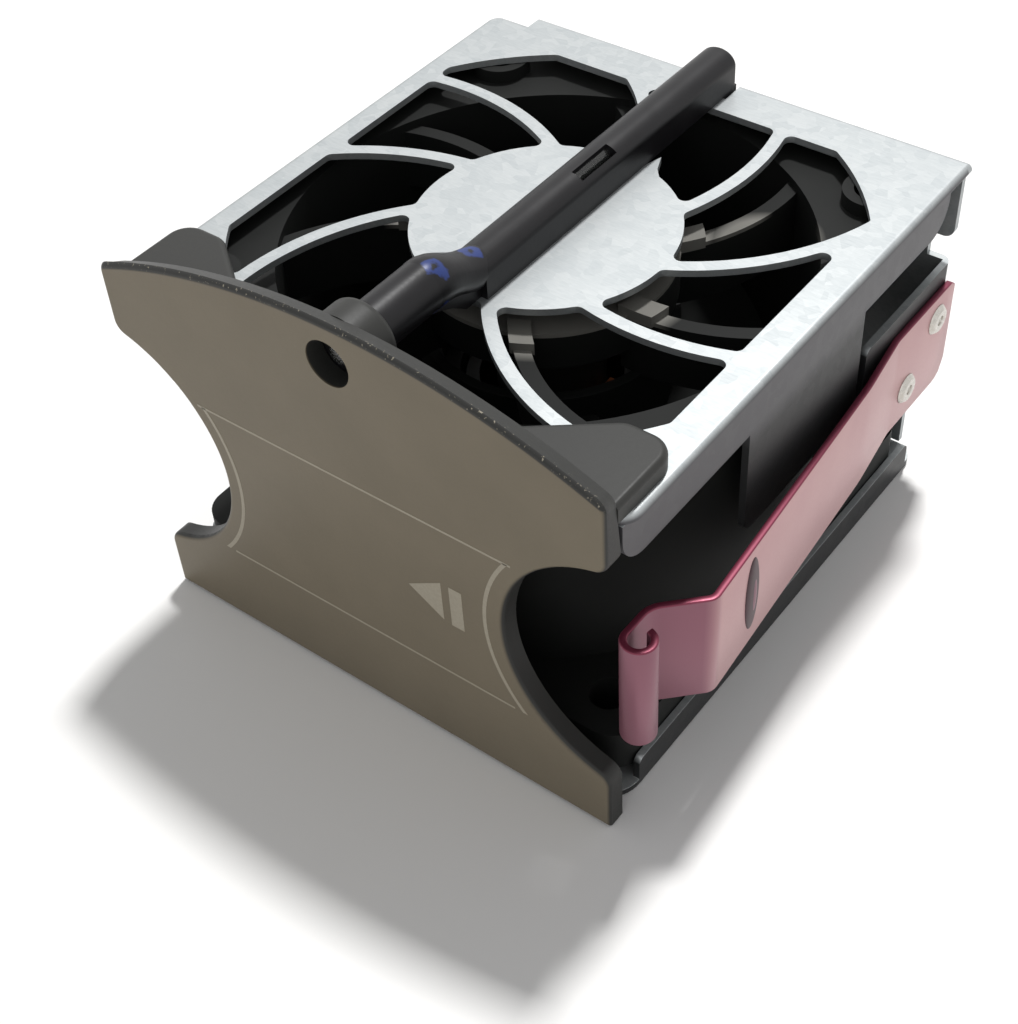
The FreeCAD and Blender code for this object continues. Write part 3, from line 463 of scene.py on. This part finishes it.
easedEdges = {
    "face_plate": {"width": 0.18}, "top_guard": {"width": 0.14}, "bottom_guard": {"width": 0.14},
    "light_tube": {"width": 0.12}, "fan_housing": {"width": 0.15}, "impeller": {"width": 0.12, "angle": 40},
    "cage_rivets": {"width": 0.1}, "latch_rivets": {"width": 0.1}, "connector_housing": {"width": 0.15},
}


def finishEdges(piece, width, segments=2, angle=35, dissolve=0.6, weight=90):
    # rounds the sharp edges, so that they catch the light as a worked edge does
    flat = piece.modifiers.new("flat", "DECIMATE")
    flat.decimate_type = "DISSOLVE"
    flat.angle_limit = math.radians(dissolve)
    bevel = piece.modifiers.new("edges", "BEVEL")
    bevel.limit_method = "ANGLE"
    bevel.angle_limit = math.radians(angle)
    bevel.width = mm(width)
    bevel.segments = segments
    shading = piece.modifiers.new("shading", "WEIGHTED_NORMAL")
    shading.weight = weight
    shadeSmooth(piece.data)


archShape = {"above": 78.9, "plate": 2.3, "fall": 1.1, "from": 0.4, "to": 2.4}


def easeArch(work):
    # the arch falls away towards its back edge, as the tool's draft leaves it
    s = archShape
    centre = Vector((faceMiddle.x, 0, mm(bezelFinish["archCentre"])))
    for vert in work.verts:
        out = Vector((vert.co.x, 0, vert.co.z)) - centre
        depth = vert.co.y - faceLow.y
        if out.length > mm(s["above"]) and mm(s["from"]) < depth < mm(s["to"]):
            vert.co -= out.normalized() * mm(s["fall"]) * depth / mm(s["plate"])


crownShape = {"above": 44.0, "behind": -13.9, "squash": 0.76}


def lowerCrown(work):
    # the bar's crown is flatter than a half round
    s = crownShape
    foot = mm(s["above"])
    for vert in work.verts:
        if vert.co.y > mm(s["behind"]) and vert.co.z > foot:
            vert.co.z = foot + (vert.co.z - foot) * s["squash"]


reshaped = {"face_plate": easeArch, "light_tube": lowerCrown}


def softCopy(node, **edges):
    # the CAD node's own mesh with its edges eased
    mesh = frame["nodes"][node].data.copy()
    work = bmesh.new()
    work.from_mesh(mesh)
    bmesh.ops.remove_doubles(work, verts=work.verts, dist=weld)
    if node in reshaped:
        reshaped[node](work)
    work.to_mesh(mesh)
    work.free()
    piece = newPiece("eased_" + node, mesh, slotOf[node], bodyOf[node])
    finishEdges(piece, **edges)
    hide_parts(node)


for easedNode, edgeFacts in easedEdges.items():
    softCopy(easedNode, **edgeFacts)

print("collar and neck")

tubeLow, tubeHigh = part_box("light_tube")
tubeMiddle = inMm(tubeLow.x + tubeHigh.x) / 2
sleeveRadius = 2.7
sleeveZ = inMm(tubeHigh.z) - sleeveRadius

# front and rear lie behind the face plate's front
collar = {"front": 2.2, "rear": 5.8, "radius": 4.0, "round": 0.9, "bore": 2.85, "roundSteps": 8,
          "turnSteps": 48}


def lightCollar():
    # plan of one side of the ring, turned about the tube's axis
    s = collar
    front, rear = inMm(faceLow.y) + s["front"], inMm(faceLow.y) + s["rear"]
    points = [(front, s["bore"]), (front, s["radius"])]
    for i in range(s["roundSteps"] + 1):
        turn = math.radians(90 * i / s["roundSteps"])
        points.append((rear - s["round"] * (1 - math.sin(turn)),
                       s["radius"] - s["round"] * (1 - math.cos(turn))))
    points.append((rear, s["bore"]))
    work = bmesh.new()
    edges = addRing(work, [(0, y, radius) for y, radius in points])
    bmesh.ops.spin(work, geom=work.verts[:] + edges, cent=(0, 0, 0), axis=(0, 1, 0),
                   angle=math.radians(360), steps=s["turnSteps"], use_merge=True)
    bmesh.ops.remove_doubles(work, verts=work.verts, dist=weld)
    bmesh.ops.translate(work, verts=work.verts, vec=(mm(tubeMiddle), 0, mm(sleeveZ)))
    newPiece("light_collar", meshFrom(work, "light_collar", sharp=40), "bezel")


neck = {
    # place along Y, centre below the sleeve's axis, radius
    "rings": ((-21.2, 0.0, 2.62), (-20.4, 0.0, 2.76), (-19.4, 0.06, 2.72), (-18.4, 0.3, 2.62),
              (-17.4, 0.7, 2.5), (-16.4, 1.2, 2.4), (-15.4, 1.75, 2.34), (-14.4, 2.2, 2.3),
              (-13.4, 2.5, 2.27), (-12.4, 2.72, 2.2), (-11.4, 2.9, 2.1)),
    "steps": 40,
}


def tubeNeck():
    # smooth run from the round sleeve down to the bar's crown
    s = neck
    turns = [math.radians(360 * i / s["steps"]) for i in range(s["steps"])]
    work = bmesh.new()
    rings = []
    for y, drop, radius in s["rings"]:
        rings.append(addRing(work, [(tubeMiddle + radius * math.cos(t), y,
                                     sleeveZ - drop + radius * math.sin(t)) for t in turns]))
    addSkin(work, rings)
    newPiece("tube_neck", meshFrom(work, "tube_neck", sharp=50), "tube_black")


# the root of the spoke that passes under the tube shows as a point beside it
spoke = {"outline": ((2.6, 14.0), (3.4, 16.7), (4.3, 14.6), (6.0, 12.6), (3.0, 12.8)), "sink": 0.03,
         "thick": 0.8}


def spokePoint():
    s = spoke
    top = guardHigh.z - mm(s["sink"])
    work = bmesh.new()
    addSlab(work, [(mm(x), mm(y), top) for x, y in s["outline"]], (0, 0, -mm(s["thick"])))
    newPiece("spoke_point", meshFrom(work, "spoke_point"), "galvanised")


lightCollar()
tubeNeck()
spokePoint()

print("latch leaf")

armLow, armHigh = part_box("latch_arm")
mountLow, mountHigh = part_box("latch_mount")

leaf = {
    "thickness": 0.8, "liftY": 20.6, "lift": 8.0, "easeY": 12.0, "flare": 4.45, "bendY": -22.5, "back": 4.5,
    "bendR": 1.3, "neckR": 3.0, "easeR": 30.0, "liftR": 7.5, "straight": 3.9, "curlR": 1.5, "curlTurn": 262,
    "curlSteps": 40, "arcSteps": 8, "step": 0.8, "lowerR": 2.4, "upperR": 0.6, "edge": 0.16, "edgeShare": 0.3,
    "blendFrom": 19.6, "blendTo": 15.2,
}


def onLine(start, angle, y):
    # the point at that y on a plan line that leans outwards by the angle as it runs to the front
    return Vector((start.x + (start.y - y) * math.tan(math.radians(angle)), y))


def roundedLine(points, radii, arcSteps):
    # plan polyline with an arc of each radius at its inner points
    line = [points[0]]
    for corner, before, after, radius in zip(points[1:-1], points, points[2:], radii):
        a = (before - corner).normalized()
        b = (after - corner).normalized()
        half = a.angle(b) / 2
        centre = corner + (a + b).normalized() * (radius / math.sin(half))
        first = corner + a * (radius / math.tan(half)) - centre
        last = corner + b * (radius / math.tan(half)) - centre
        turn = first.angle_signed(last)
        line += [centre + Matrix.Rotation(-turn * i / arcSteps, 2) @ first for i in range(arcSteps + 1)]
    return line + [points[-1]]


def fineLine(points, step):
    # the same line with no stretch longer than the step
    line = []
    for a, b in zip(points, points[1:]):
        count = max(1, math.ceil((b - a).length / step))
        line += [a.lerp(b, i / count) for i in range(count)]
    return line + [points[-1]]


def leafPlan():
    s = leaf
    tab = inMm(mountLow.x) + s["thickness"] / 2
    rear = Vector((tab, inMm(mountHigh.y)))
    lift = Vector((tab, s["liftY"]))
    ease = onLine(lift, s["lift"], s["easeY"])
    bend = onLine(ease, s["flare"], s["bendY"])
    neckEnd = bend - Vector((s["back"], s["back"]))
    roll = neckEnd - Vector((0, s["straight"]))
    line = roundedLine([rear, lift, ease, bend, neckEnd, roll],
                       [s["liftR"], s["easeR"], s["bendR"], s["neckR"]], s["arcSteps"])
    line = fineLine(line, s["step"])
    middle = roll + Vector((s["curlR"], 0))
    for i in range(1, s["curlSteps"] + 1):
        turn = math.radians(180 + s["curlTurn"] * i / s["curlSteps"])
        line.append(middle + s["curlR"] * Vector((math.cos(turn), math.sin(turn))))
    return line


def cornerCut(radius, past):
    # how much a rounded corner takes off, so far from the leaf's end
    return radius - math.sqrt(radius ** 2 - (radius - past) ** 2) if past < radius else 0.0


def leafSection(low, high):
    # across the sheet and up, with its four edges rounded
    half, edge = leaf["thickness"] / 2, leaf["edge"]
    nick = edge * leaf["edgeShare"]
    return [(-half, low + edge), (-half + nick, low + nick), (-half + edge, low),
            (half - edge, low), (half - nick, low + nick), (half, low + edge),
            (half, high - edge), (half - nick, high - nick), (half - edge, high),
            (-half + edge, high), (-half + nick, high - nick), (-half, high - edge)]


def leafMesh():
    s = leaf
    line = leafPlan()
    work = bmesh.new()
    rings = []
    for i, point in enumerate(line):
        ahead = line[min(i + 1, len(line) - 1)] - line[max(i - 1, 0)]
        side = Vector((ahead.y, -ahead.x)).normalized()
        past = max(0.0, inMm(mountHigh.y) - point.y)
        section = leafSection(inMm(armLow.z) + cornerCut(s["lowerR"], past),
                              inMm(armHigh.z) - cornerCut(s["upperR"], past))
        rings.append(addRing(work, [(point.x + side.x * a, point.y + side.y * a, z) for a, z in section]))
    addSkin(work, rings)
    return meshFrom(work, "latch_leaf", sharp=50)


latchLeaf = newPiece("latch_leaf", leafMesh(), "latch_steel", None)
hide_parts("latch_arm", "latch_mount")
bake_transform(latchLeaf)

print("catch boss")

# half width, half length and height above the leaf of the flanks and of the ridge on them
boss = {"y": -15.0, "z": 20.9, "flanks": (1.35, 5.2, 0.4), "ridge": (0.55, 3.3, 0.5), "around": 32,
        "down": 24, "gloss": (0.35, 0.5), "cloud": 1.0}


def bossPad(name, halfWidth, halfLength, out, coat):
    # long dome pressed out of the leaf, which leans with it
    s = boss
    near = min(leafPlan(), key=lambda point: abs(point.y - s["y"]))
    face = onLine(near, leaf["flare"], s["y"]).x + leaf["thickness"] / 2
    work = bmesh.new()
    bmesh.ops.create_uvsphere(work, u_segments=s["around"], v_segments=s["down"], radius=mm(halfWidth))
    bmesh.ops.scale(work, verts=work.verts, vec=(out / halfWidth, 1, halfLength / halfWidth))
    bmesh.ops.rotate(work, verts=work.verts, cent=(0, 0, 0),
                     matrix=Matrix.Rotation(math.radians(leaf["flare"]), 3, "Z"))
    bmesh.ops.translate(work, verts=work.verts, vec=(mm(face), mm(s["y"]), mm(s["z"])))
    newPiece(name, meshFrom(work, name, sharp=180), "latch_steel", "latch", coat)


# crimson lacquer on the pressed boss: its flanks painted dark as shade, its ridge painted paler as a
# highlight
bossPad("boss_flanks", *boss["flanks"],
        flatCoat("shaded crimson lacquer", "#2C131B", "#47252F", boss["cloud"], boss["gloss"]))
bossPad("boss_ridge", *boss["ridge"],
        flatCoat("highlighted crimson lacquer", "#7E5460", "#96707B", boss["cloud"], boss["gloss"]))

print("face printing")

# pale ink lines that frame the lower field, and a pull arrow: strips of ink a fiftieth of a millimetre thick
ink = {
    "thick": 0.02, "upperZ": 33.0, "lowerZ": 11.6, "upper": (-19.7, 20.7), "lower": (-19.0, 20.0),
    "line": 0.28, "curve": 0.45, "gripX": 33.8, "gripZ": 23.1, "curveR": 17.2, "curveSteps": 24,
    "arrow": ((7.3, 22.5), (11.6, 19.8), (11.6, 25.2)),
    "bar": ((12.6, 19.6), (14.2, 19.6), (14.2, 25.2), (12.6, 25.2)), "cloud": 0.4, "gloss": (0.5, 0.62),
}


def inkCurve(side):
    # band beside a finger cut-out, between the two long lines
    s = ink
    centreX = inMm(faceMiddle.x) + side * s["gripX"]
    rows = []
    for radius in (s["curveR"], s["curveR"] + s["curve"]):
        top = math.asin((s["upperZ"] - s["gripZ"]) / radius)
        low = math.asin((s["lowerZ"] - s["gripZ"]) / radius)
        arc = [low + (top - low) * i / s["curveSteps"] for i in range(s["curveSteps"] + 1)]
        rows.append([(centreX - side * radius * math.cos(t), s["gripZ"] + radius * math.sin(t)) for t in arc])
    return rows[0] + rows[1][::-1]


def printedMarks():
    s = ink
    half = s["line"] / 2
    shapes = [[(x0, z - half), (x1, z - half), (x1, z + half), (x0, z + half)]
              for z, (x0, x1) in ((s["upperZ"], s["upper"]), (s["lowerZ"], s["lower"]))]
    shapes += [inkCurve(-1), inkCurve(1), s["arrow"], s["bar"]]
    work = bmesh.new()
    for shape in shapes:
        addSlab(work, [(mm(x), faceLow.y, mm(z)) for x, z in shape], (0, -mm(s["thick"]), 0))
    return meshFrom(work, "face_printing")


newPiece("face_printing", printedMarks(), "bezel",
         coat=flatCoat("pad printed grey ink", "#958D7C", "#ABA392", ink["cloud"], ink["gloss"]))

print("camera and light")

view = {"azimuth": 39.63, "elevation": 45.31, "roll": -3.85, "distance": 179.55,
        "aim": (10.1, -20.1, 21.4), "focal": 60.39, "sensor": 36.0, "shiftX": -0.008, "shiftY": 0.006,
        "clip": (0.01, 10.0)}


def makeCamera():
    v = view
    data = bpy.data.cameras.new("camera")
    data.lens = v["focal"]
    data.sensor_width = v["sensor"]
    data.shift_x = v["shiftX"]
    data.shift_y = v["shiftY"]
    data.clip_start, data.clip_end = v["clip"]
    camera = bpy.data.objects.new("camera", data)
    bpy.context.scene.collection.objects.link(camera)
    # it looks at the aim from that far off, round to the right of the front and from above
    turn = (Matrix.Rotation(math.radians(v["azimuth"]), 4, "Z")
            @ Matrix.Rotation(math.radians(90 - v["elevation"]), 4, "X")
            @ Matrix.Rotation(math.radians(v["roll"]), 4, "Z"))
    aim = Vector([mm(c) for c in v["aim"]])
    camera.matrix_world = Matrix.Translation(aim) @ turn @ Matrix.Translation((0, 0, mm(v["distance"])))
    bpy.context.scene.camera = camera


stage = {"size": 4.0, "gap": 0.2, "paper": "#FBFAF8", "roughness": 0.9}


def makeStage():
    # a wide pale floor that stays white where the camera sees it past the shadow
    s = stage
    bpy.ops.mesh.primitive_plane_add(size=s["size"], location=(0, 0, cadLow.z - mm(s["gap"])))
    floor = bpy.context.object
    floor.name = "floor"
    material, tree = newMaterial("white paper floor")[:2]
    closeMaterial(tree, {"Base Color": colour(s["paper"]), "Roughness": s["roughness"]})
    floor.data.materials.append(material)


sky = {"backdrop": ("#FFFFFF", 1.0), "fill": ("#F4F5F7", 0.36)}


def makeWorld():
    # white where it is seen straight, in a reflection or through the clear pipe; a dimmer fill otherwise
    world = bpy.data.worlds.new("studio")
    bpy.context.scene.world = world
    world.use_nodes = True
    tree = world.node_tree
    tree.nodes.clear()
    rays = addNode(tree, "ShaderNodeLightPath").outputs
    seen = maths(tree, "MAXIMUM", rays["Is Camera Ray"], rays["Is Glossy Ray"])
    seen = maths(tree, "MAXIMUM", seen, rays["Is Transmission Ray"])
    backdrop, fill = (addNode(tree, "ShaderNodeBackground", {"Color": colour(tint), "Strength": strength})
                      for tint, strength in (sky["backdrop"], sky["fill"]))
    mix = addNode(tree, "ShaderNodeMixShader", {0: seen, 1: fill.outputs["Background"],
                                                2: backdrop.outputs["Background"]})
    addNode(tree, "ShaderNodeOutputWorld", {"Surface": mix.outputs["Shader"]})


lampAim = Vector((0, 0, 0.02))
lamps = {
    "key": {"at": (-0.084, 0.326, 0.815), "size": 0.08, "power": 6.6},
    "fill": {"at": (0.35, -0.6, 0.45), "size": 0.7, "power": 0.8},
}


def makeLamp(name, at, size, power):
    data = bpy.data.lights.new(name, "AREA")
    data.size = size
    data.energy = power
    lamp = bpy.data.objects.new(name, data)
    bpy.context.scene.collection.objects.link(lamp)
    lamp.location = at
    lamp.rotation_euler = (lampAim - Vector(at)).to_track_quat("-Z", "Y").to_euler()


makeCamera()
makeStage()
makeWorld()
for lampName, lampFacts in lamps.items():
    makeLamp(lampName, **lampFacts)
bpy.context.scene.view_settings.view_transform = "Standard"
